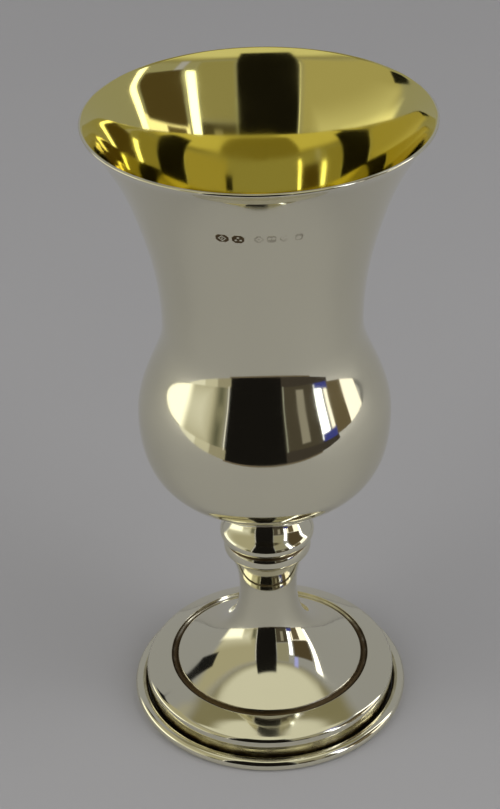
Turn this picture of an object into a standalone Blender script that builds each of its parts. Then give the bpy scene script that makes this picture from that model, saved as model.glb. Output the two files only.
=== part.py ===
# A silver kiddush cup: a thistle-shaped bowl on a turned collar, a hollow trumpet foot and a foot wire.
# Every piece is turned about the vertical axis. The origin is on the table, under the middle of the foot.

import math

import bmesh
import bpy

# Driving dimensions, in metres and degrees. Angles of an outline are from level, 0 outwards and 90 upwards.
cup_height = 0.14
joint_gap = 0.0003

wire_radius = 0.00135
wire_ring_radius = 0.0293
wire_flat_depth = 0.00015

foot_wall = 0.0007
skirt_lift = 0.0004
ring_lift = 0.00175
ring_overhang = 0.0002
ring_underside = 0.0004
ring_edge_height = 0.00235
ring_edge_inset = 0.00095
ring_edge_drop = 0.00105
ring_outer_slope = 25
ring_inner_slope = 22
ring_top_rise = 0.0021
groove_width = 0.0016
groove_depth = 0.0008
groove_side_angle = 65
dome_radius = 0.0206
dome_lip_rise = 0.0001
dome_edge_slope = 28
trumpet_height = 0.01915
trumpet_pull = 0.45
stem_waist_radius = 0.00635
stem_flare_height = 0.0099
stem_top_radius = 0.0087
stem_top_angle = 62
bead_swell = 0.0008
bead_start_angle = 15
bead_widest_height = 0.0012
bead_height = 0.00375
bead_top_radius = 0.0084
bead_top_angle = 140

collar_bore_radius = 0.0045
collar_ring_radius = 0.0102
collar_ring_height = 0.00335
collar_widest_height = 0.00105
collar_corner_inset = 0.0003
collar_corner_angle = 120
collar_shoulder_radius = 0.00875
collar_shoulder_slope = 47
collar_neck_radius = 0.0069
collar_neck_rise = 0.0053
collar_top_rise = 0.00215
collar_top_radius = 0.0086
collar_top_angle = 35

bowl_wall = 0.0007
seat_slope = 16
belly_radius = 0.02636
belly_rise = 0.02075
belly_pull = 0.48
shoulder_radius = 0.02294
shoulder_rise = 0.0125
shoulder_angle = 114.2
waist_radius = 0.0204
waist_rise = 0.0093
flare_radius = 0.025
flare_drop = 0.0179
flare_angle = 72
turnout_radius = 0.03225
turnout_drop = 0.0029
turnout_angle = 57
rim_radius = 0.0343
rim_angle = 45

silver_colour = (0.88, 0.87, 0.84, 1)
silver_roughness = 0.08
gilt_colour = (0.86, 0.70, 0.26, 1)
gilt_roughness = 0.07

# Steps round the axis and along each curve
segments = 40
wire_steps = 8
edge_steps = 3
groove_steps = 2
trumpet_steps = 8
stem_steps = 4
bead_steps = 3
neck_steps = 4
belly_steps = 7
bowl_steps = 4
turnout_steps = 2
lip_steps = 3
crease_angle = 40
curve_pull = 0.36
same_point = 1e-7
floor_facing = 0.5

# Heights above the table, from the foot up. The bowl's flare and its turned-out edge hang from the rim
wire_height = 2 * wire_radius - wire_flat_depth
ring_low = wire_height + ring_lift
ring_edge_top = ring_low + ring_edge_height
ring_inner_top = ring_edge_top + ring_top_rise
dome_edge = ring_inner_top + dome_lip_rise
stem_waist = dome_edge + trumpet_height
stem_top = stem_waist + stem_flare_height
bead_top = stem_top + bead_height
collar_bottom = bead_top + joint_gap
collar_shoulder = collar_bottom + collar_ring_height
collar_neck = collar_shoulder + collar_neck_rise
collar_top = collar_neck + collar_top_rise
seat = collar_top + joint_gap
belly = seat + belly_rise
shoulder = belly + shoulder_rise
waist = shoulder + waist_rise
flare = cup_height - flare_drop
turnout = cup_height - turnout_drop

# The skirt stands inside the wire, and the ring's edge passes over it
skirt_radius = wire_ring_radius - wire_radius - joint_gap
ring_radius = skirt_radius + ring_overhang


def direction(degrees):
    angle = math.radians(degrees)
    return math.cos(angle), math.sin(angle)


def sweep(start, leaving, end, arriving, steps, pull=curve_pull):
    """Points of the smooth curve between two (radius, height) points, given its direction at each end."""
    reach = pull * math.dist(start, end)
    near = [place + reach * part for place, part in zip(start, direction(leaving))]
    far = [place - reach * part for place, part in zip(end, direction(arriving))]
    points = []
    for step in range(steps + 1):
        t = step / steps
        weights = ((1 - t) ** 3, 3 * t * (1 - t) ** 2, 3 * t * t * (1 - t), t ** 3)
        corners = list(zip(start, near, far, end))
        points.append(tuple(sum(w * c for w, c in zip(weights, axis)) for axis in corners))
    return points


def joined(*curves):
    """The curves as one outline, with each shared end point kept once."""
    outline = []
    for curve in curves:
        shared = outline and math.dist(curve[0], outline[-1]) < same_point
        outline += curve[1:] if shared else curve
    return outline


def beside(points, distance):
    """The curve moved to its left by a distance, for the far side of a wall."""
    moved = []
    for before, (radius, height), after in zip([points[0], *points], points, [*points[1:], points[-1]]):
        share = distance / math.dist(before, after)
        moved.append((radius + share * (before[1] - after[1]), height + share * (after[0] - before[0])))
    return moved


def foot_wire_outline():
    """Round wire, ground flat where it stands."""
    middle = wire_radius - wire_flat_depth
    start = -math.asin(middle / wire_radius)
    outline = []
    for step in range(wire_steps + 1):
        angle = start + (math.pi - 2 * start) * step / wire_steps
        radius = wire_ring_radius + wire_radius * math.cos(angle)
        outline.append((radius, middle + wire_radius * math.sin(angle)))
    return outline


def foot_outline():
    """Up the skirt, over the ring, across the groove and up the stem, then down the hollow inside."""
    edge_low = (ring_radius, ring_low + ring_underside)
    edge_side = (ring_radius, ring_edge_top - ring_edge_drop)
    edge_top = (ring_radius - ring_edge_inset, ring_edge_top)
    groove_outside = (dome_radius + groove_width, ring_inner_top)
    groove_floor = (dome_radius + groove_width / 2, ring_inner_top - groove_depth)
    dome = (dome_radius, dome_edge)
    stem = (stem_waist_radius, stem_waist)
    under_bead = (stem_top_radius, stem_top)
    bead_widest = (stem_top_radius + bead_swell, stem_top + bead_widest_height)
    trumpet = sweep(dome, 180 - dome_edge_slope, stem, 90, trumpet_steps, trumpet_pull)
    outside = joined(
        [(skirt_radius, skirt_lift)],
        sweep((skirt_radius, ring_low), 0, edge_low, 90, groove_steps),
        sweep(edge_side, 90, edge_top, 180 - ring_outer_slope, edge_steps),
        sweep(edge_top, 180 - ring_outer_slope, groove_outside, 180 - ring_inner_slope, edge_steps),
        sweep(groove_outside, 180 + groove_side_angle, groove_floor, 180, groove_steps),
        sweep(groove_floor, 180, dome, 180 - groove_side_angle, groove_steps),
        trumpet,
        sweep(stem, 90, under_bead, stem_top_angle, stem_steps),
        sweep(under_bead, bead_start_angle, bead_widest, 90, bead_steps),
        sweep(bead_widest, 90, (bead_top_radius, bead_top), bead_top_angle, bead_steps),
    )
    wall_radius = skirt_radius - foot_wall
    below_groove = ring_inner_top - groove_depth - foot_wall
    inside = [
        (wall_radius, skirt_lift),
        (wall_radius, ring_edge_top - ring_edge_drop - foot_wall),
        (wall_radius - ring_edge_inset, ring_edge_top - foot_wall),
        (dome_radius + groove_width, below_groove),
        (dome_radius, below_groove),
        *beside(trumpet, foot_wall)[1:],
        (stem_waist_radius - foot_wall, bead_top),
    ]
    return outside + inside[::-1]


def collar_outline():
    """Down a reel: a flare under the bowl, the neck and the rounded ring, then the bore."""
    top = (collar_top_radius, collar_top)
    neck = (collar_neck_radius, collar_neck)
    shoulder_edge = (collar_shoulder_radius, collar_shoulder)
    widest = (collar_ring_radius, collar_bottom + collar_widest_height)
    corner = (collar_ring_radius - collar_corner_inset, collar_bottom)
    outside = joined(
        sweep(top, -180 + collar_top_angle, neck, -90, edge_steps),
        sweep(neck, -90, shoulder_edge, -collar_shoulder_slope, neck_steps),
        sweep(shoulder_edge, -collar_shoulder_slope, widest, -90, edge_steps),
        sweep(widest, -90, corner, -collar_corner_angle, groove_steps),
    )
    return outside + [(collar_bore_radius, collar_bottom), (collar_bore_radius, collar_top)]


def bowl_outline():
    """From the middle of the underside out and up to the rim, round its lip and down the inside."""
    half_wall = bowl_wall / 2
    along_out, along_up = direction(rim_angle)
    lip = (rim_radius - half_wall, cup_height - half_wall)
    rim_outside = (lip[0] + half_wall * along_up, lip[1] - half_wall * along_out)
    outside = joined(
        sweep((collar_top_radius, seat), seat_slope, (belly_radius, belly), 90, belly_steps, belly_pull),
        sweep((belly_radius, belly), 90, (shoulder_radius, shoulder), shoulder_angle, bowl_steps),
        sweep((shoulder_radius, shoulder), shoulder_angle, (waist_radius, waist), 90, bowl_steps),
        sweep((waist_radius, waist), 90, (flare_radius, flare), flare_angle, bowl_steps),
        sweep((flare_radius, flare), flare_angle, (turnout_radius, turnout), turnout_angle, bowl_steps),
        sweep((turnout_radius, turnout), turnout_angle, rim_outside, rim_angle, turnout_steps),
    )
    rounding = []
    for step in range(1, lip_steps):
        turn_out, turn_up = direction(rim_angle - 90 + 180 * step / lip_steps)
        rounding.append((lip[0] + half_wall * turn_out, lip[1] + half_wall * turn_up))
    inside = beside(outside, bowl_wall)
    return [(0, seat)] + outside + rounding + inside[::-1] + [(0, seat + bowl_wall)]


def metal(name, colour, roughness):
    material = bpy.data.materials.new(name)
    material.use_nodes = True
    shader = material.node_tree.nodes["Principled BSDF"]
    shader.inputs["Base Color"].default_value = colour
    shader.inputs["Metallic"].default_value = 1
    shader.inputs["Roughness"].default_value = roughness
    material.diffuse_color = colour
    return material


def turned(name, outline, materials):
    """The outline turned once round the vertical axis, as one closed solid."""
    mesh = bmesh.new()
    points = [mesh.verts.new((radius, 0, height)) for radius, height in outline]
    edges = [mesh.edges.new(pair) for pair in zip(points, points[1:])]
    if outline[0][0] > 0:
        edges.append(mesh.edges.new((points[-1], points[0])))
    bmesh.ops.spin(
        mesh,
        geom=points + edges,
        cent=(0, 0, 0),
        axis=(0, 0, 1),
        angle=math.tau,
        steps=segments,
        use_merge=True,
    )
    bmesh.ops.remove_doubles(mesh, verts=mesh.verts, dist=same_point)
    bmesh.ops.recalc_face_normals(mesh, faces=mesh.faces)
    data = bpy.data.meshes.new(name)
    mesh.to_mesh(data)
    mesh.free()
    data.shade_smooth()
    data.set_sharp_from_angle(angle=math.radians(crease_angle))
    for material in materials:
        data.materials.append(material)
    piece = bpy.data.objects.new(name, data)
    bpy.context.scene.collection.objects.link(piece)
    return piece


def gild_inside(piece):
    """The second material on the faces that look at the bowl's own axis, and on its floor."""
    for face in piece.data.polygons:
        inwards = face.normal.x * face.center.x + face.normal.y * face.center.y < 0
        floor = face.normal.z > floor_facing and face.center.z < belly
        face.material_index = 1 if inwards or floor else 0


for old in list(bpy.data.objects):
    bpy.data.objects.remove(old)

bowl_silver = metal("bowl silver", silver_colour, silver_roughness)
bowl_gilding = metal("bowl gilding", gilt_colour, gilt_roughness)
bowl = turned("bowl", bowl_outline(), [bowl_silver, bowl_gilding])
gild_inside(bowl)
turned("collar", collar_outline(), [metal("collar silver", silver_colour, silver_roughness)])
turned("foot", foot_outline(), [metal("foot silver", silver_colour, silver_roughness)])
turned("foot_wire", foot_wire_outline(), [metal("foot wire silver", silver_colour, silver_roughness)])
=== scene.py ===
import bpy
import numpy as np
from mathutils import Matrix


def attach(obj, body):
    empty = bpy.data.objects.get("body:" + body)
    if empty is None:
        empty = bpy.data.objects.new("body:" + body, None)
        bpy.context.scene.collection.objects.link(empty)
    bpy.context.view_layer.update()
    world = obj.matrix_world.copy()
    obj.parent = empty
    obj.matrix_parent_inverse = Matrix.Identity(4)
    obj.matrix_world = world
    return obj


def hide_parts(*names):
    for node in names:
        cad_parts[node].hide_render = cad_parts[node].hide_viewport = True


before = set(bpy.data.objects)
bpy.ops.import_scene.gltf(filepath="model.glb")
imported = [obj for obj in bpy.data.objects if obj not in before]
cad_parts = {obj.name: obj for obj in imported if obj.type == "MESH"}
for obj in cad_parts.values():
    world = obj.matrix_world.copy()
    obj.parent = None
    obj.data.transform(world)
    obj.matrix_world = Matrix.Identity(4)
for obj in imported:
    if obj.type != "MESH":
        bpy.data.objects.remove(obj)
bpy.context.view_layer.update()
scene = bpy.context.scene
print("frame loaded")

# Outlines are in metres, as (radius, height). Angles are in degrees from level, 0 outwards and 90 upwards.
# Azimuths start at the camera's side, -Y, and grow towards +X.
curvePull = 0.36
finePitch = 0.00003
edgeRounding = 0.00006
turnWeight = 0.0021
weightWindow = 25
smallestLength = 1e-12
millimetre = 0.001


def levelDirection(degrees):
    return np.array([np.cos(np.radians(degrees)), np.sin(np.radians(degrees))])


def sweepCurve(start, leaving, end, arriving, pull=curvePull):
    # a cubic from start to end that leaves and arrives in the given directions
    start, end = np.array(start, float), np.array(end, float)
    span = np.hypot(*(end - start))
    near = start + pull * span * levelDirection(leaving)
    far = end - pull * span * levelDirection(arriving)
    t = np.linspace(0, 1, max(3, int(span / finePitch)))[:, None]
    return (1 - t) ** 3 * start + 3 * t * (1 - t) ** 2 * near + 3 * t ** 2 * (1 - t) * far + t ** 3 * end


def straight(start, end):
    return np.linspace(start, end, max(2, int(np.hypot(*np.subtract(end, start)) / finePitch)))


def joined(*curves):
    points = np.vstack(curves)
    return points[np.r_[True, np.hypot(*np.diff(points, axis=0).T) > finePitch / 100]]


def beside(points, distance):
    # the curve moved to its left by a distance
    along = np.gradient(points, axis=0)
    along /= np.linalg.norm(along, axis=1)[:, None]
    return points + distance * np.c_[-along[:, 1], along[:, 0]]


def arcLength(points):
    return np.r_[0, np.cumsum(np.hypot(*np.diff(points, axis=0).T))]


def resampled(points, rows, rounding=edgeRounding, closed=True, extra=None):
    # even spacing, then a narrow blur that rounds the corners, then rows drawn closer where the outline turns
    length = arcLength(points)
    even = np.linspace(0, length[-1], int(length[-1] / finePitch))
    fine = np.c_[np.interp(even, length, points[:, 0]), np.interp(even, length, points[:, 1])]
    reach = int(4 * rounding / finePitch) + 1
    kernel = np.exp(-0.5 * (np.arange(-reach, reach + 1) * finePitch / rounding) ** 2)
    kernel /= kernel.sum()
    if closed:
        padded = np.vstack([fine[-reach - 1:-1], fine, fine[1:reach + 1]])
    else:
        padded = np.vstack([2 * fine[0] - fine[reach:0:-1], fine, 2 * fine[-1] - fine[-2:-reach - 2:-1]])
    fine = np.c_[np.convolve(padded[:, 0], kernel, "valid"), np.convolve(padded[:, 1], kernel, "valid")]
    heading = np.unwrap(np.arctan2(*np.gradient(fine, axis=0).T[::-1]))
    turn = np.abs(np.gradient(heading, even))
    weight = 1 + turnWeight * turn
    if extra is not None:
        weight = weight + extra(fine)
    window = np.ones(weightWindow) / weightWindow
    weight = np.convolve(np.pad(weight, weightWindow // 2, mode="edge"), window, "valid")
    share = np.r_[0, np.cumsum((weight[1:] + weight[:-1]) / 2)]
    at = np.interp(np.linspace(0, share[-1], rows), share, even)
    return np.c_[np.interp(at, even, fine[:, 0]), np.interp(at, even, fine[:, 1])]


def turnedMesh(name, profile, azimuths, closed, sink=None):
    # the outline turned round the axis: rows follow the outline, columns the azimuth
    # sink pushes points inwards, and an open outline starts and ends on the axis
    rows, columns = len(profile), len(azimuths)
    length = arcLength(profile)
    around = np.radians(azimuths)
    out = np.stack([np.sin(around), -np.cos(around), np.zeros(columns)], axis=-1)
    points = profile[:, None, :1] * out[None] + profile[:, None, 1:] * np.array([0, 0, 1.0])
    wrapped = np.r_[around[-1] - 2 * np.pi, around, around[0] + 2 * np.pi]

    def normalsOf(grid):
        wide = np.concatenate([grid[:, -1:], grid, grid[:, :1]], axis=1)
        acrossGrid = np.gradient(wide, wrapped, axis=1)[:, 1:-1]
        if closed:
            tall = np.concatenate([grid[-2:-1], grid[:-1], grid[:2]], axis=0)
            tallLength = np.r_[length[-2] - length[-1], length[:-1], length[-1], length[-1] + length[1]]
            alongGrid = np.gradient(tall, tallLength, axis=0)[1:-1]
        else:
            alongGrid = np.gradient(grid, length, axis=0, edge_order=2)
        found = np.cross(acrossGrid, alongGrid)
        return found / np.maximum(np.linalg.norm(found, axis=2), smallestLength)[:, :, None]

    normals = normalsOf(points)
    if sink is not None:
        points = points - sink[:, :, None] * normals
        normals = normalsOf(points)
    if closed:
        points, normals = points[:-1], normals[:-1]
        rows -= 1
        low, high = np.arange(rows), np.r_[np.arange(1, rows), 0]
    else:
        points, normals = points[1:-1], normals[1:-1]
        rows -= 2
        low, high = np.arange(rows - 1), np.arange(1, rows)
    left, right = np.arange(columns), np.r_[np.arange(1, columns), 0]
    corner = np.stack(
        [
            low[:, None] * columns + left,
            low[:, None] * columns + right,
            high[:, None] * columns + right,
            high[:, None] * columns + left,
        ],
        axis=-1,
    ).reshape(-1, 4)
    points, normals = points.reshape(-1, 3), normals.reshape(-1, 3)
    faceStarts = np.arange(len(corner)) * 4
    loops = corner.ravel()
    if not closed:
        # a single point closes each end of the outline on the axis
        first, last = len(points), len(points) + 1
        points = np.vstack([points, [0, 0, profile[0, 1]], [0, 0, profile[-1, 1]]])
        normals = np.vstack([normals, [0, 0, -1], [0, 0, 1]])
        top = (rows - 1) * columns
        caps = np.vstack(
            [
                np.c_[np.full(columns, first), right, left],
                np.c_[np.full(columns, last), top + left, top + right],
            ]
        )
        faceStarts = np.r_[faceStarts, len(loops) + np.arange(len(caps)) * 3]
        loops = np.r_[loops, caps.ravel()]
    data = bpy.data.meshes.new(name)
    data.vertices.add(len(points))
    data.vertices.foreach_set("co", points.astype(np.float32).ravel())
    data.loops.add(len(loops))
    data.loops.foreach_set("vertex_index", loops.astype(np.int32))
    data.polygons.add(len(faceStarts))
    data.polygons.foreach_set("loop_start", faceStarts.astype(np.int32))
    data.update(calc_edges=True)
    data.shade_smooth()
    data.normals_split_custom_set_from_vertices(normals.astype(np.float32))
    piece = bpy.data.objects.new(name, data)
    scene.collection.objects.link(piece)
    return piece


def pointAttribute(piece, name, values, columns, closed):
    # values by row, or by row and column, written in the order of the turned mesh's points
    values = np.broadcast_to(values, (len(values), columns))
    if closed:
        flat = values[:-1].ravel()
    else:
        flat = np.r_[values[1:-1].ravel(), values[0, 0], values[-1, 0]]
    piece.data.attributes.new(name, "FLOAT", "POINT").data.foreach_set("value", flat.astype(np.float32))


def smoothStep(value, low, high):
    t = np.clip((value - low) / (high - low), 0, 1)
    return t * t * (3 - 2 * t)


# Where the collar and the bowl start
heights = {"collarBottom": 0.04195, "seat": 0.05305}


# Shader effects that more than one material uses
def newGroup(name, ins, outs):
    group = bpy.data.node_groups.new(name, "ShaderNodeTree")
    for label, kind, value in ins:
        socket = group.interface.new_socket(name=label, in_out="INPUT", socket_type=kind)
        if value is not None:
            socket.default_value = value
    for label, kind in outs:
        group.interface.new_socket(name=label, in_out="OUTPUT", socket_type=kind)
    return group, group.nodes.new("NodeGroupInput"), group.nodes.new("NodeGroupOutput")


def addNode(tree, kind, label="", **settings):
    node = tree.nodes.new(kind)
    node.label = label
    for key, value in settings.items():
        setattr(node, key, value)
    return node


def handWear():
    # height = slow noise for the hand-raised sheet + stretched fine noise for the polishing lines
    # roughness = base + share * blotchy noise, for fingermarks and wiped areas
    group, given, made = newGroup(
        "hand wear",
        [
            ("Vector", "NodeSocketVector", None),
            ("Roughness", "NodeSocketFloat", 0.05),
            ("Blotch", "NodeSocketFloat", 0.04),
            ("Wave Height", "NodeSocketFloat", 1.0),
            ("Line Height", "NodeSocketFloat", 1.0),
        ],
        [("Roughness", "NodeSocketFloat"), ("Height", "NodeSocketFloat")],
    )
    links = group.links
    wave = addNode(group, "ShaderNodeTexNoise", "sheet waviness")
    wave.inputs["Scale"].default_value = 42
    wave.inputs["Detail"].default_value = 1.5
    flat = addNode(group, "ShaderNodeMapping", "stretch round the axis")
    flat.inputs["Scale"].default_value = (1, 1, 9)
    lines = addNode(group, "ShaderNodeTexNoise", "polishing lines")
    lines.inputs["Scale"].default_value = 700
    lines.inputs["Detail"].default_value = 3
    blotch = addNode(group, "ShaderNodeTexNoise", "wiped blotches")
    blotch.inputs["Scale"].default_value = 95
    blotch.inputs["Detail"].default_value = 4
    waveHeight = addNode(group, "ShaderNodeMath", "wave height", operation="MULTIPLY")
    lineHeight = addNode(group, "ShaderNodeMath", "line height", operation="MULTIPLY")
    height = addNode(group, "ShaderNodeMath", "height", operation="ADD")
    spread = addNode(group, "ShaderNodeMapRange", "blotch range")
    spread.inputs["From Min"].default_value = 0.42
    spread.inputs["From Max"].default_value = 0.72
    amount = addNode(group, "ShaderNodeMath", "blotch amount", operation="MULTIPLY")
    total = addNode(group, "ShaderNodeMath", "roughness", operation="ADD")
    links.new(given.outputs["Vector"], wave.inputs["Vector"])
    links.new(given.outputs["Vector"], flat.inputs["Vector"])
    links.new(flat.outputs["Vector"], lines.inputs["Vector"])
    links.new(given.outputs["Vector"], blotch.inputs["Vector"])
    links.new(wave.outputs["Fac"], waveHeight.inputs[0])
    links.new(given.outputs["Wave Height"], waveHeight.inputs[1])
    links.new(lines.outputs["Fac"], lineHeight.inputs[0])
    links.new(given.outputs["Line Height"], lineHeight.inputs[1])
    links.new(waveHeight.outputs[0], height.inputs[0])
    links.new(lineHeight.outputs[0], height.inputs[1])
    links.new(blotch.outputs["Fac"], spread.inputs["Value"])
    links.new(spread.outputs["Result"], amount.inputs[0])
    links.new(given.outputs["Blotch"], amount.inputs[1])
    links.new(given.outputs["Roughness"], total.inputs[0])
    links.new(amount.outputs[0], total.inputs[1])
    links.new(total.outputs[0], made.inputs["Roughness"])
    links.new(height.outputs[0], made.inputs["Height"])
    return group


def makeTarnishAndShade():
    # amount = recess attribute pushed about by noise; colour = clean mixed to brown; roughness rises with it.
    # The brown is tarnish, and on the foot's skirt under the ring and the bead's top under the collar it is
    # painted shade as well
    group, given, made = newGroup(
        "tarnish and painted shade",
        [
            ("Vector", "NodeSocketVector", None),
            ("Recess", "NodeSocketFloat", 0.0),
            ("Clean Color", "NodeSocketColor", (0.9, 0.88, 0.84, 1)),
            ("Tarnish And Shade Color", "NodeSocketColor", (0.14, 0.098, 0.05, 1)),
            ("Clean Roughness", "NodeSocketFloat", 0.05),
        ],
        [("Color", "NodeSocketColor"), ("Roughness", "NodeSocketFloat")],
    )
    links = group.links
    noise = addNode(group, "ShaderNodeTexNoise", "patchy edge")
    noise.inputs["Scale"].default_value = 380
    noise.inputs["Detail"].default_value = 5
    shift = addNode(group, "ShaderNodeMath", "noise about zero", operation="MULTIPLY_ADD")
    shift.inputs[1].default_value = 0.7
    shift.inputs[2].default_value = -0.35
    pushed = addNode(group, "ShaderNodeMath", "recess with noise", operation="ADD")
    amount = addNode(group, "ShaderNodeMapRange", "tarnish and shade amount", interpolation_type="SMOOTHSTEP")
    amount.inputs["From Min"].default_value = 0.3
    amount.inputs["From Max"].default_value = 0.95
    mix = addNode(group, "ShaderNodeMix", "clean to tarnished and shaded", data_type="RGBA")
    rough = addNode(group, "ShaderNodeMix", "clean to matt", data_type="FLOAT")
    rough.inputs[3].default_value = 0.45
    links.new(given.outputs["Vector"], noise.inputs["Vector"])
    links.new(noise.outputs["Fac"], shift.inputs[0])
    links.new(shift.outputs[0], pushed.inputs[0])
    links.new(given.outputs["Recess"], pushed.inputs[1])
    links.new(pushed.outputs[0], amount.inputs["Value"])
    links.new(amount.outputs["Result"], mix.inputs[0])
    links.new(given.outputs["Clean Color"], mix.inputs[6])
    links.new(given.outputs["Tarnish And Shade Color"], mix.inputs[7])
    links.new(amount.outputs["Result"], rough.inputs[0])
    links.new(given.outputs["Clean Roughness"], rough.inputs[2])
    links.new(mix.outputs[2], made.inputs["Color"])
    links.new(rough.outputs[0], made.inputs["Roughness"])
    return group


wearGroup = handWear()
tarnishAndShadeGroup = makeTarnishAndShade()
silverColour = (0.86, 0.83, 0.665, 1)
giltColour = (0.85, 0.765, 0.28, 1)


def groupNode(tree, group):
    node = tree.nodes.new("ShaderNodeGroup")
    node.node_tree = group
    node.label = group.name
    return node


def metalMaterial(name, gilded=False):
    # colour = silver, or gold past the lip, browned in the recesses by tarnish, and under the foot's ring and
    # the collar by painted shade as well; roughness and bump from the hand wear
    material = bpy.data.materials.new(name)
    material.use_nodes = True
    tree = material.node_tree
    links = tree.links
    shader = tree.nodes["Principled BSDF"]
    shader.inputs["Metallic"].default_value = 1
    place = addNode(tree, "ShaderNodeTexCoord")
    wear = groupNode(tree, wearGroup)
    wear.inputs["Roughness"].default_value = 0.052
    wear.inputs["Blotch"].default_value = 0.06
    wear.inputs["Wave Height"].default_value = 1.4
    wear.inputs["Line Height"].default_value = 0.004
    recess = addNode(tree, "ShaderNodeAttribute", "recess", attribute_name="recess")
    # this node browns the recesses: tarnish, and painted shade where the recess attribute marks the foot's
    # skirt and bead top
    tarnish = groupNode(tree, tarnishAndShadeGroup)
    bump = addNode(tree, "ShaderNodeBump", "surface bump")
    bump.inputs["Distance"].default_value = 0.00008
    bump.inputs["Strength"].default_value = 1
    links.new(place.outputs["Object"], wear.inputs["Vector"])
    links.new(place.outputs["Object"], tarnish.inputs["Vector"])
    links.new(recess.outputs["Fac"], tarnish.inputs["Recess"])
    links.new(wear.outputs["Roughness"], tarnish.inputs["Clean Roughness"])
    links.new(wear.outputs["Height"], bump.inputs["Height"])
    links.new(tarnish.outputs["Roughness"], shader.inputs["Roughness"])
    links.new(bump.outputs["Normal"], shader.inputs["Normal"])
    if gilded:
        # gilding mask = distance past the lip, in millimetres, shifted by noise and cut at a narrow edge
        past = addNode(tree, "ShaderNodeAttribute", "past lip", attribute_name="pastLip")
        ragged = addNode(tree, "ShaderNodeTexNoise", "ragged edge")
        ragged.inputs["Scale"].default_value = 160
        ragged.inputs["Detail"].default_value = 3
        shift = addNode(tree, "ShaderNodeMath", "edge shift", operation="MULTIPLY_ADD")
        shift.inputs[1].default_value = 0.35
        edge = addNode(tree, "ShaderNodeMapRange", "gilding mask", interpolation_type="SMOOTHSTEP")
        edge.inputs["From Min"].default_value = 0.2
        edge.inputs["From Max"].default_value = 0.42
        metal = addNode(tree, "ShaderNodeMix", "silver to gold", data_type="RGBA")
        metal.inputs[6].default_value = silverColour
        metal.inputs[7].default_value = giltColour
        links.new(place.outputs["Object"], ragged.inputs["Vector"])
        links.new(ragged.outputs["Fac"], shift.inputs[0])
        links.new(past.outputs["Fac"], shift.inputs[2])
        links.new(shift.outputs[0], edge.inputs["Value"])
        links.new(edge.outputs["Result"], metal.inputs[0])
        links.new(metal.outputs[2], tarnish.inputs["Clean Color"])
    else:
        tarnish.inputs["Clean Color"].default_value = silverColour
    links.new(tarnish.outputs["Color"], shader.inputs["Base Color"])
    return material


silver = metalMaterial("polished silver")
silverGilt = metalMaterial("silver with a gilt inside", gilded=True)
print("materials ready")


def dressed(piece, material, node):
    piece.data.materials.append(material)
    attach(piece, "root")
    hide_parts(node)
    return piece


# The foot wire: round wire, ground flat where it stands
wireSizes = {
    "radius": 0.00135,
    "ringRadius": 0.0293,
    "flatDepth": 0.00015,
    "rounding": 0.00002,
    "arcPoints": 400,
    "stain": 0.9,
    "stainFrom": 0.0005,
    "stainFull": 0.0012,
    "rows": 72,
    "columns": 288,
}


def makeWire(sizes):
    middle = sizes["radius"] - sizes["flatDepth"]
    start = -np.arcsin(middle / sizes["radius"])
    angle = np.linspace(start, np.pi - start, sizes["arcPoints"])
    across = sizes["ringRadius"] + sizes["radius"] * np.cos(angle)
    ring = np.c_[across, middle + sizes["radius"] * np.sin(angle)]
    outline = joined(ring, straight(ring[-1], ring[0]))
    profile = resampled(outline, sizes["rows"], rounding=sizes["rounding"])
    profile[:, 1] -= profile[:, 1].min()
    azimuths = np.linspace(0, 360, sizes["columns"], endpoint=False)
    piece = turnedMesh("foot_roll", profile, azimuths, True)
    # recess = how far the surface lies inside the ring's middle
    inner = smoothStep(sizes["ringRadius"] - profile[:, 0], sizes["stainFrom"], sizes["stainFull"])
    pointAttribute(piece, "recess", sizes["stain"] * inner[:, None], sizes["columns"], True)
    return dressed(piece, silver, "foot_wire")


# The foot: skirt, broad ring, dark groove, dome, trumpet stem and the bead on top, hollow below
footSizes = {
    "skirtRadius": 0.02765,
    "wall": 0.0007,
    "skirtLift": 0.0004,
    "ringLow": 0.0043,
    "ringOverhang": 0.0002,
    "ringUnderside": 0.0004,
    "edgeHeight": 0.00235,
    "edgeInset": 0.00095,
    "edgeDrop": 0.00105,
    "outerSlope": 25,
    "innerSlope": 22,
    "topRise": 0.0021,
    "grooveWidth": 0.0016,
    "grooveDepth": 0.0008,
    "grooveSide": 65,
    "domeRadius": 0.0206,
    "domeLipRise": 0.0001,
    "domeSlope": 28,
    "trumpetHeight": 0.01915,
    "trumpetPull": 0.45,
    "waistRadius": 0.00635,
    "flareHeight": 0.0099,
    "stemTopRadius": 0.0087,
    "stemTopAngle": 62,
    "beadSwell": 0.0008,
    "beadStart": 15,
    "beadWidest": 0.0012,
    "beadHeight": 0.00375,
    "beadTopRadius": 0.0084,
    "beadTopAngle": 140,
    "hollowSkip": 40,
    "rows": 420,
    "columns": 230,
}
# how dark each recess of the foot is: tarnish, and at the skirt and the bead's edge painted shade as well
footStainsAndShade = {
    "grooveShare": 0.62,
    "grooveEdge": (-0.0001, 0.0004),
    "grooveBottom": (0.0012, 0.0009),
    "backClean": 0.5,
    "frontDirt": 0.3,
    "frontEdge": (0.12, 0.45),
    "skirt": 0.52,
    "skirtRise": 0.0002,
    "skirtFade": 0.0008,
    "beadEdge": (0.0013, 0.0008),
    "seam": 0.6,
    "seamHalf": 0.0004,
    "hidden": 0.55,
}


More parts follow.
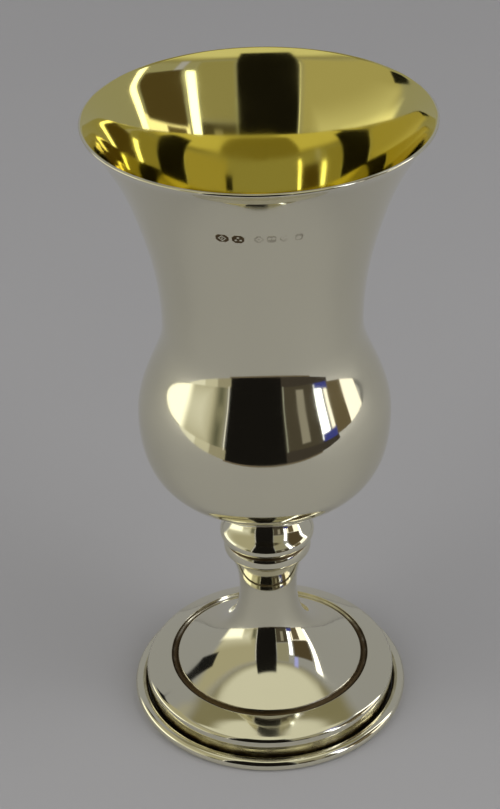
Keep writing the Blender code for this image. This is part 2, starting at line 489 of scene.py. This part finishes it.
def makeFoot(sizes, stainsAndShade):
    edgeTopHeight = sizes["ringLow"] + sizes["edgeHeight"]
    innerTop = edgeTopHeight + sizes["topRise"]
    domeEdge = innerTop + sizes["domeLipRise"]
    waist = domeEdge + sizes["trumpetHeight"]
    stemTop = waist + sizes["flareHeight"]
    beadTop = stemTop + sizes["beadHeight"]
    ringRadius = sizes["skirtRadius"] + sizes["ringOverhang"]
    skirt = (sizes["skirtRadius"], sizes["ringLow"])
    edgeLow = (ringRadius, sizes["ringLow"] + sizes["ringUnderside"])
    edgeSide = (ringRadius, edgeTopHeight - sizes["edgeDrop"])
    edgeTop = (ringRadius - sizes["edgeInset"], edgeTopHeight)
    grooveOut = (sizes["domeRadius"] + sizes["grooveWidth"], innerTop)
    grooveFloor = (sizes["domeRadius"] + sizes["grooveWidth"] / 2, innerTop - sizes["grooveDepth"])
    dome = (sizes["domeRadius"], domeEdge)
    stem = (sizes["waistRadius"], waist)
    underBead = (sizes["stemTopRadius"], stemTop)
    beadWidest = (sizes["stemTopRadius"] + sizes["beadSwell"], stemTop + sizes["beadWidest"])
    beadEnd = (sizes["beadTopRadius"], beadTop)
    trumpet = sweepCurve(dome, 180 - sizes["domeSlope"], stem, 90, sizes["trumpetPull"])
    wallRadius = sizes["skirtRadius"] - sizes["wall"]
    belowGroove = innerTop - sizes["grooveDepth"] - sizes["wall"]
    inside = np.array(
        [
            (wallRadius, sizes["skirtLift"]),
            (wallRadius, edgeTopHeight - sizes["edgeDrop"] - sizes["wall"]),
            (wallRadius - sizes["edgeInset"], edgeTopHeight - sizes["wall"]),
            (sizes["domeRadius"] + sizes["grooveWidth"], belowGroove),
            (sizes["domeRadius"], belowGroove),
        ]
    )
    hollow = beside(trumpet, sizes["wall"])[sizes["hollowSkip"]:]
    insideUp = np.vstack([inside, hollow, [(stem[0] - sizes["wall"], beadTop)]])
    outline = joined(
        straight((sizes["skirtRadius"], sizes["skirtLift"]), skirt),
        sweepCurve(skirt, 0, edgeLow, 90),
        straight(edgeLow, edgeSide),
        sweepCurve(edgeSide, 90, edgeTop, 180 - sizes["outerSlope"]),
        sweepCurve(edgeTop, 180 - sizes["outerSlope"], grooveOut, 180 - sizes["innerSlope"]),
        sweepCurve(grooveOut, 180 + sizes["grooveSide"], grooveFloor, 180),
        sweepCurve(grooveFloor, 180, dome, 180 - sizes["grooveSide"]),
        trumpet,
        sweepCurve(stem, 90, underBead, sizes["stemTopAngle"]),
        sweepCurve(underBead, sizes["beadStart"], beadWidest, 90),
        sweepCurve(beadWidest, 90, beadEnd, sizes["beadTopAngle"]),
        insideUp[::-1],
        [(sizes["skirtRadius"], sizes["skirtLift"])],
    )
    profile = resampled(outline, sizes["rows"])
    azimuths = np.linspace(0, 360, sizes["columns"], endpoint=False)
    piece = turnedMesh("foot_shell", profile, azimuths, True)
    radius, height = profile.T
    middle = grooveFloor[0]
    reach = sizes["grooveWidth"] * stainsAndShade["grooveShare"]
    groove = smoothStep(reach - np.abs(radius - middle), *stainsAndShade["grooveEdge"])
    groove *= smoothStep(height, *(innerTop - np.array(stainsAndShade["grooveBottom"])))
    # dirt fills the groove's floor and dome side; the outer side is cleaner, most of all at the back
    frontShare = 0.5 + 0.5 * np.cos(np.radians(azimuths))
    cleaned = stainsAndShade["backClean"] - stainsAndShade["frontDirt"] * smoothStep(frontShare, *stainsAndShade["frontEdge"])
    outerSide = smoothStep(radius - middle, *stainsAndShade["grooveEdge"])
    groove = groove[:, None] * (1 - cleaned * outerSide[:, None])
    # elsewhere: the skirt below the ring (painted shade under the ring's overhang, with tarnish), the bead's
    # top (painted shade under the collar's ring, with tarnish), the seam under the bead, and all the hollow
    # inside
    # painted shade: the skirt and the ring's underside darken under the ring's overhang, as well as tarnish
    skirtShade = smoothStep(edgeLow[1] + stainsAndShade["skirtRise"] - height, 0, stainsAndShade["skirtFade"])
    # painted shade: the bead's top darkens just under the collar's ring, as well as tarnish in the seam
    beadSeamAndShade = smoothStep(height, *(beadTop - np.array(stainsAndShade["beadEdge"])))
    stemSeam = smoothStep(stainsAndShade["seamHalf"] - np.abs(height - stemTop), 0, stainsAndShade["seamHalf"])
    hidden = np.arange(len(radius)) > np.argmax(height)
    other = np.maximum.reduce(
        [stainsAndShade["skirt"] * skirtShade, beadSeamAndShade, stainsAndShade["seam"] * stemSeam, stainsAndShade["hidden"] * hidden]
    )
    pointAttribute(piece, "recess", np.maximum(groove, other[:, None]), sizes["columns"], True)
    return dressed(piece, silver, "foot")


# The collar: a turned reel between the foot's bead and the bowl
collarSizes = {
    "boreRadius": 0.0045,
    "ringRadius": 0.0102,
    "ringHeight": 0.00335,
    "widest": 0.00105,
    "cornerInset": 0.0003,
    "cornerAngle": 120,
    "shoulderRadius": 0.00875,
    "shoulderSlope": 47,
    "neckRadius": 0.0069,
    "neckRise": 0.0053,
    "topRise": 0.00215,
    "topRadius": 0.0086,
    "topAngle": 35,
    "lowStain": 0.0004,
    "highStain": 0.0007,
    "rows": 190,
    "columns": 200,
}


def makeCollar(sizes):
    bottom = heights["collarBottom"]
    shoulderHeight = bottom + sizes["ringHeight"]
    neckHeight = shoulderHeight + sizes["neckRise"]
    top = (sizes["topRadius"], neckHeight + sizes["topRise"])
    neck = (sizes["neckRadius"], neckHeight)
    shoulder = (sizes["shoulderRadius"], shoulderHeight)
    widest = (sizes["ringRadius"], bottom + sizes["widest"])
    corner = (sizes["ringRadius"] - sizes["cornerInset"], bottom)
    outline = joined(
        sweepCurve(top, -180 + sizes["topAngle"], neck, -90),
        sweepCurve(neck, -90, shoulder, -sizes["shoulderSlope"]),
        sweepCurve(shoulder, -sizes["shoulderSlope"], widest, -90),
        sweepCurve(widest, -90, corner, -sizes["cornerAngle"]),
        straight(corner, (sizes["boreRadius"], bottom)),
        straight((sizes["boreRadius"], bottom), (sizes["boreRadius"], top[1])),
        straight((sizes["boreRadius"], top[1]), top),
    )[::-1]
    profile = resampled(outline, sizes["rows"])
    azimuths = np.linspace(0, 360, sizes["columns"], endpoint=False)
    piece = turnedMesh("collar_reel", profile, azimuths, True)
    height = profile[:, 1]
    # recess = nearness to the lower or the upper end
    low = smoothStep(bottom + sizes["lowStain"] - height, 0, sizes["lowStain"])
    high = smoothStep(height, top[1] - sizes["highStain"], top[1])
    pointAttribute(piece, "recess", np.maximum(low, high)[:, None], sizes["columns"], True)
    return dressed(piece, silver, "collar")


# The bowl: one sheet with a rounded lip, gilt inside, and a row of punched marks below the rim
bowlSizes = {
    "wall": 0.0007,
    "topRadius": 0.0086,
    "seatSlope": 16,
    "bellyRadius": 0.02636,
    "bellyRise": 0.02075,
    "bellyPull": 0.48,
    "shoulderRadius": 0.02294,
    "shoulderRise": 0.0125,
    "shoulderAngle": 114.2,
    "waistRadius": 0.0204,
    "waistRise": 0.0093,
    "flareRadius": 0.025,
    "flareDrop": 0.0179,
    "flareAngle": 72,
    "turnoutRadius": 0.03225,
    "turnoutDrop": 0.0029,
    "turnoutAngle": 57,
    "rimRadius": 0.03429,
    "rimHeight": 0.13999,
    "rimAngle": 45,
    "lipPoints": 60,
    "seatStain": 0.0012,
    "rows": 330,
    "columns": 300,
}
markSizes = {
    "height": 0.1273,
    "half": 0.0036,
    "depth": 0.00009,
    "slope": 68,
    "stain": 1.1,
    "extraRows": 5,
    "rowFade": 0.002,
    "extraColumns": 9,
    "halfAzimuth": 26,
    "columnFade": 6,
    "azimuthSteps": 4001,
}
blockEdge = 0.00008
figureEdge = 0.00006
figureLine = 0.00009
figureHeight = 0.85
diagonal = 0.7071
# A row for each punch: middle, half width, half height, cut corner, share of the depth,
# then the figures on its floor as kind, place across and up, and size. All in millimetres
punches = (
    (-7.2, 1.25, 1.0, 0.55, 1.0, (("diamond", 0.0, 0.0, 0.68), ("dot", 0.0, 0.0, 0.17))),
    (
        -4.2, 1.15, 1.0, 0.55, 1.0,
        (("dot", -0.45, -0.3, 0.25), ("dot", 0.45, -0.3, 0.25), ("dot", 0.0, 0.4, 0.25)),
    ),
    (-0.4, 0.95, 0.9, 0.6, 0.42, (("diamond", 0.0, 0.1, 0.45),)),
    (1.9, 0.9, 0.9, 0.3, 0.46, (("dot", -0.35, 0.2, 0.3), ("dot", 0.4, 0.2, 0.3))),
    (4.3, 0.9, 0.9, 0.6, 0.42, (("diamond", -0.2, 0.2, 0.4), ("dot", 0.5, 0.3, 0.2))),
    (7.0, 0.8, 0.9, 0.3, 0.52, (("dot", 0.0, -0.2, 0.45),)),
)


def shieldDepth(across, up, middle, halfWidth, halfHeight, cut):
    # 1 inside a block with cut corners, falling smoothly to 0 at its edge
    x, y = np.abs(across - middle[0]), np.abs(up - middle[1])
    corner = (x - halfWidth + y - halfHeight + cut) * diagonal
    edge = np.maximum.reduce([x - halfWidth, y - halfHeight, corner])
    return 1 - smoothStep(edge, -blockEdge, blockEdge)


def raisedDepth(across, up, kind, middle, size):
    # a round dot, or the outline of a diamond: 1 inside, falling smoothly to 0 at its edge
    x, y = across - middle[0], up - middle[1]
    if kind == "dot":
        edge = np.hypot(x, y) - size
    else:
        edge = np.abs(np.abs(x) + np.abs(y) - size) * diagonal - figureLine
    return 1 - smoothStep(edge, -figureEdge, figureEdge)


def punchedMarks(across, up):
    # a sunk block for each punch, less the raised figures on its floor; the deepest wins
    mm = millimetre
    sunk = np.zeros_like(across)
    for middle, halfWidth, halfHeight, cut, light, figures in punches:
        block = shieldDepth(across, up, (middle * mm, 0), halfWidth * mm, halfHeight * mm, cut * mm)
        figure = np.zeros_like(across)
        for kind, x, y, size in figures:
            raised = raisedDepth(across, up, kind, ((middle + x) * mm, y * mm), size * mm)
            figure = np.maximum(figure, raised)
        sunk = np.maximum(sunk, light * block * (1 - figureHeight * figure))
    return sunk


def makeBowl(sizes, marks):
    seat = heights["seat"]
    half = sizes["wall"] / 2
    rimAlong = levelDirection(sizes["rimAngle"])
    lip = np.array([sizes["rimRadius"] - half, sizes["rimHeight"] - half])
    rimOut = lip + half * np.array([rimAlong[1], -rimAlong[0]])
    bottom = (sizes["topRadius"], seat)
    belly = (sizes["bellyRadius"], seat + sizes["bellyRise"])
    shoulder = (sizes["shoulderRadius"], belly[1] + sizes["shoulderRise"])
    waist = (sizes["waistRadius"], shoulder[1] + sizes["waistRise"])
    flare = (sizes["flareRadius"], sizes["rimHeight"] - sizes["flareDrop"])
    turnout = (sizes["turnoutRadius"], sizes["rimHeight"] - sizes["turnoutDrop"])
    outside = joined(
        sweepCurve(bottom, sizes["seatSlope"], belly, 90, sizes["bellyPull"]),
        sweepCurve(belly, 90, shoulder, sizes["shoulderAngle"]),
        sweepCurve(shoulder, sizes["shoulderAngle"], waist, 90),
        sweepCurve(waist, 90, flare, sizes["flareAngle"]),
        sweepCurve(flare, sizes["flareAngle"], turnout, sizes["turnoutAngle"]),
        sweepCurve(turnout, sizes["turnoutAngle"], rimOut, sizes["rimAngle"]),
    )
    turn = np.radians(sizes["rimAngle"] - 90 + np.linspace(0, 180, sizes["lipPoints"])[1:-1])
    rounding = lip + half * np.c_[np.cos(turn), np.sin(turn)]
    inside = beside(outside, sizes["wall"])[::-1]
    floor = seat + sizes["wall"]
    underside = straight((0, seat), bottom)
    outline = joined(underside, outside, rounding, inside, straight(inside[-1], (0, floor)))
    outline[:, 0] = np.maximum(outline[:, 0], 0)

    def markRows(points):
        # rows run closer on the outer wall where the marks are
        outer = np.arange(len(points)) < np.argmax(points[:, 1])
        inset = marks["half"] - np.abs(points[:, 1] - marks["height"])
        return marks["extraRows"] * smoothStep(inset, -marks["rowFade"], marks["rowFade"]) * outer

    profile = resampled(outline, sizes["rows"], closed=False, extra=markRows)
    profile[0, 0], profile[-1, 0] = 0, 0
    # columns run closer round the azimuths of the marks
    wide = np.linspace(-180, 180, marks["azimuthSteps"])
    inset = marks["halfAzimuth"] - np.abs(wide)
    dense = 1 + marks["extraColumns"] * smoothStep(inset, -marks["columnFade"], marks["columnFade"])
    share = np.r_[0, np.cumsum((dense[1:] + dense[:-1]) / 2)]
    azimuths = np.interp(np.linspace(0, share[-1], sizes["columns"] + 1)[:-1], share, wide)
    lipRow = np.argmax(profile[:, 1])
    markRadius = np.interp(marks["height"], outside[:, 1], outside[:, 0])
    across = np.radians(azimuths)[None] * markRadius
    up = (profile[:, 1:] - marks["height"]) / np.sin(np.radians(marks["slope"]))
    outer = (np.arange(len(profile)) < lipRow)[:, None]
    across, up = np.broadcast_arrays(across, up)
    punched = punchedMarks(across, up)
    sink = marks["depth"] * punched * outer
    piece = turnedMesh("bowl_shell", profile, azimuths, False, sink)
    length = arcLength(profile)
    past = (length - length[lipRow]) / millimetre
    pointAttribute(piece, "pastLip", past[:, None], sizes["columns"], False)
    # recess = nearness to the seat on the underside, or the depth of the punches
    stain = sizes["seatStain"]
    lower = smoothStep(bottom[0] + stain - profile[:, 0], 0, stain) * (profile[:, 1] < belly[1])
    worn = outer * np.maximum(lower[:, None], marks["stain"] * punched)
    pointAttribute(piece, "recess", worn, sizes["columns"], False)
    return dressed(piece, silverGilt, "bowl")


makeWire(wireSizes)
makeFoot(footSizes, footStainsAndShade)
makeCollar(collarSizes)
makeBowl(bowlSizes, markSizes)
print("cup pieces made")


# The camera, at the photograph's angle
cameraSizes = {
    "place": (0, -0.335196, 0.288802),
    "yaw": -0.0090,
    "pitch": 0.5683,
    "roll": -0.0255,
    "lens": 85.01,
    "sensor": 36,
    "clip": (0.01, 20),
}


def makeCamera(sizes):
    yaw, pitch, roll = sizes["yaw"], sizes["pitch"], sizes["roll"]
    ahead = np.array([np.sin(yaw) * np.cos(pitch), np.cos(yaw) * np.cos(pitch), -np.sin(pitch)])
    level = np.array([np.cos(yaw), -np.sin(yaw), 0])
    upright = np.cross(level, ahead)
    right = np.cos(roll) * level + np.sin(roll) * upright
    up = -np.sin(roll) * level + np.cos(roll) * upright
    data = bpy.data.cameras.new("camera")
    data.lens = sizes["lens"]
    data.sensor_width = sizes["sensor"]
    data.clip_start, data.clip_end = sizes["clip"]
    camera = bpy.data.objects.new("camera", data)
    scene.collection.objects.link(camera)
    matrix = np.eye(4)
    matrix[:3, :4] = np.c_[right, up, -ahead, sizes["place"]]
    camera.matrix_world = Matrix(matrix.tolist())
    scene.camera = camera


makeCamera(cameraSizes)


# The studio: a pale floor, two soft side lights, and cards round the cup that only the metal sees
studioSizes = {"floorHalf": 3, "cardMiddle": 0.09, "cardGrid": 33, "cardLift": 0.001, "lightAim": 0.05}


def floorMaterial():
    # colour = cool grey with a faint slow noise
    material = bpy.data.materials.new("pale floor")
    material.use_nodes = True
    tree = material.node_tree
    shader = tree.nodes["Principled BSDF"]
    shader.inputs["Roughness"].default_value = 0.75
    shader.inputs["Specular IOR Level"].default_value = 0.2
    place = addNode(tree, "ShaderNodeTexCoord")
    noise = addNode(tree, "ShaderNodeTexNoise", "faint mottle")
    noise.inputs["Scale"].default_value = 6
    noise.inputs["Detail"].default_value = 2
    mix = addNode(tree, "ShaderNodeMix", "two close greys", data_type="RGBA")
    mix.inputs[6].default_value = (0.395, 0.390, 0.395, 1)
    mix.inputs[7].default_value = (0.415, 0.410, 0.412, 1)
    tree.links.new(place.outputs["Object"], noise.inputs["Vector"])
    tree.links.new(noise.outputs["Fac"], mix.inputs[0])
    tree.links.new(mix.outputs[2], shader.inputs["Base Color"])
    return material


def makeFloor():
    data = bpy.data.meshes.new("floor")
    half = studioSizes["floorHalf"]
    corners = [(-half, -half, 0), (half, -half, 0), (half, half, 0), (-half, half, 0)]
    data.from_pydata(corners, [], [(0, 1, 2, 3)])
    data.materials.append(floorMaterial())
    floor = bpy.data.objects.new("floor", data)
    scene.collection.objects.link(floor)


def cardMaterial(name, colour, strength, soft):
    # emission, clear at the card's edge and full where the inset attribute reaches soft
    material = bpy.data.materials.new(name)
    material.use_nodes = True
    tree = material.node_tree
    links = tree.links
    tree.nodes.remove(tree.nodes["Principled BSDF"])
    glow = addNode(tree, "ShaderNodeEmission", "card light")
    glow.inputs["Color"].default_value = (*colour, 1)
    glow.inputs["Strength"].default_value = strength
    clear = addNode(tree, "ShaderNodeBsdfTransparent")
    mix = addNode(tree, "ShaderNodeMixShader", "soft edge")
    across = addNode(tree, "ShaderNodeAttribute", "inset", attribute_name="inset")
    ramp = addNode(tree, "ShaderNodeMapRange", "edge fade", interpolation_type="SMOOTHSTEP")
    ramp.inputs["From Max"].default_value = soft
    links.new(across.outputs["Fac"], ramp.inputs["Value"])
    links.new(ramp.outputs["Result"], mix.inputs[0])
    links.new(clear.outputs[0], mix.inputs[1])
    links.new(glow.outputs[0], mix.inputs[2])
    links.new(mix.outputs[0], tree.nodes["Material Output"].inputs["Surface"])
    return material


def stageCard(name, points, faces, inset, colour, strength, soft):
    # a sheet that only reflections meet
    data = bpy.data.meshes.new(name)
    data.from_pydata(points, [], faces)
    data.attributes.new("inset", "FLOAT", "POINT").data.foreach_set("value", inset)
    data.materials.append(cardMaterial(name, colour, strength, soft))
    card = bpy.data.objects.new(name, data)
    card.visible_camera = False
    card.visible_diffuse = False
    card.visible_shadow = False
    scene.collection.objects.link(card)


def makeCard(name, azimuth, elevation, distance, colour, strength, soft):
    # a patch of a sphere round the cup's middle, between two azimuths and two elevations
    # inset = degrees to the nearest edge
    grid = studioSizes["cardGrid"]
    across, up = np.meshgrid(np.linspace(*azimuth, grid), np.linspace(*elevation, grid))
    a, e = np.radians(across), np.radians(up)
    points = distance * np.stack([np.sin(a) * np.cos(e), -np.cos(a) * np.cos(e), np.sin(e)], axis=-1)
    points[:, :, 2] += studioSizes["cardMiddle"]
    inset = np.minimum.reduce(
        [across - azimuth[0], azimuth[1] - across, up - elevation[0], elevation[1] - up]
    ).astype(np.float32)
    index = np.arange(grid * grid).reshape(grid, grid)
    corners = [index[:-1, :-1], index[:-1, 1:], index[1:, 1:], index[1:, :-1]]
    faces = np.stack(corners, axis=-1).reshape(-1, 4).tolist()
    stageCard(name, points.reshape(-1, 3).tolist(), faces, inset.ravel(), colour, strength, soft)


# Name, azimuths, elevations, distance, colour, strength and soft edge. Angles in degrees, distances in metres
cards = (
    ("card high", (-200, 200), (50, 91), 2.4, (0.43, 0.39, 0.22), 0.5, 8),
    ("card high front", (-104, 104), (53, 97), 2.3, (0.66, 0.645, 0.52), 0.97, 8),
    ("card left", (-122, -33), (-12, 56), 2.3, (0.50, 0.465, 0.31), 0.8, 8),
    ("card left glow", (-124, -42), (-11, 30), 2.2, (1.0, 0.98, 0.80), 0.75, 26),
    ("card left bright", (-124, -72), (-15, 17), 2.1, (1.0, 0.98, 0.80), 1.45, 9),
    ("card left shade", (-53, -33), (-14, 18), 2.0, (0.14, 0.14, 0.09), 0.8, 11),
    ("card left wedge", (-127.5, -112), (27, 40), 1.9, (0.02, 0.02, 0.02), 0.5, 2),
    ("card front line", (-36.2, -34.8), (-10, 50), 1.2, (1.0, 0.97, 0.9), 1.1, 0.8),
    ("card front dark", (-36, 19), (-13, 66), 1.3, (0.010, 0.009, 0.008), 0.8, 3),
    ("card front streak", (18, 19.4), (-10, 34), 1.2, (0.60, 0.62, 0.52), 0.7, 0.6),
    ("card right high", (17, 51), (20, 54), 1.5, (0.36, 0.34, 0.24), 0.8, 4),
    ("card right brown", (15, 51), (-13, 22), 1.45, (0.085, 0.072, 0.05), 0.8, 2),
    ("card right light", (31, 40), (0, 19), 1.4, (0.40, 0.37, 0.30), 0.7, 1.5),
    ("card right green", (22, 27), (-11, -4), 1.4, (0.45, 0.58, 0.42), 0.9, 1.2),
    ("card right bright", (50, 59), (-3, 42), 1.4, (0.88, 0.92, 1.0), 3.2, 1.2),
    ("card right blue", (50, 66), (-13, 3), 1.38, (0.05, 0.06, 0.30), 0.9, 2),
    ("card right lavender", (60, 71), (42, 56), 1.5, (0.45, 0.47, 1.0), 0.9, 3),
    ("card right cream", (60, 99), (-14, 20), 1.65, (1.0, 0.95, 0.84), 1.35, 1.5),
    ("card right dark", (63.5, 82), (-6, 18), 1.6, (0.16, 0.125, 0.07), 0.8, 1.5),
    ("card right dark high", (61, 97), (17, 44), 1.6, (0.10, 0.075, 0.04), 0.8, 2),
    ("card right strip", (98, 105), (-1, 50), 1.6, (0.98, 0.97, 0.94), 2.6, 1.2),
)
# Name, azimuths, near and far distance, colour and strength
lowCards = (
    ("card low front", (-35, 48), 0.25, 0.28, (0.20, 0.165, 0.12), 0.8),
    ("card low far left", (-80, -62), 0.28, 2.9, (1.0, 0.98, 0.80), 0.8),
    ("card low left", (-62, -48), 0.28, 2.9, (0.72, 0.69, 0.52), 0.8),
    ("card low near left", (-48, -33.5), 0.28, 2.9, (0.40, 0.37, 0.26), 0.8),
    ("card low dark", (-33.5, 17), 0.28, 2.9, (0.010, 0.009, 0.008), 0.8),
    ("card low right", (17, 66), 0.28, 2.9, (0.06, 0.05, 0.04), 0.8),
)
# Name, place, size, energy and colour
lights = (
    ("left softbox", (-1.2, -0.5, 0.85), (1.5, 1.5), 12.4, (1.0, 0.99, 0.97)),
    ("right softbox", (1.2, -0.5, 0.85), (1.3, 1.3), 12.4, (1.0, 1.0, 1.0)),
)


def makeLowCard(name, azimuth, near, far, colour, strength):
    # a sheet just over the floor, between two azimuths and two distances in front of the cup
    left, right = map(float, np.tan(np.radians(azimuth)))
    ends = ((left, far), (right, far), (right, near), (left, near))
    corners = [(side * reach, -reach, studioSizes["cardLift"]) for side, reach in ends]
    stageCard(name, corners, [(0, 1, 2, 3)], [1, 1, 1, 1], colour, strength, 0.5)


def makeLight(name, place, size, energy, colour):
    data = bpy.data.lights.new(name, "AREA")
    data.shape = "RECTANGLE"
    data.size, data.size_y = size
    data.energy = energy
    data.color = colour
    light = bpy.data.objects.new(name, data)
    light.location = place
    toCup = np.array([0, 0, studioSizes["lightAim"]]) - np.array(place)
    pitch = np.arccos(-toCup[2] / np.linalg.norm(toCup))
    light.rotation_euler = (pitch, 0, np.arctan2(-toCup[0], toCup[1]))
    light.visible_glossy = False
    light.visible_camera = False
    scene.collection.objects.link(light)


for card in cards:
    makeCard(*card)
makeFloor()
for lowCard in lowCards:
    makeLowCard(*lowCard)
for light in lights:
    makeLight(*light)

world = bpy.data.worlds.new("studio")
scene.world = world
world.use_nodes = True
world.node_tree.nodes["Background"].inputs["Color"].default_value = (0.50, 0.50, 0.51, 1)
world.node_tree.nodes["Background"].inputs["Strength"].default_value = 0.62
scene.view_settings.view_transform = "Standard"
print("studio ready")
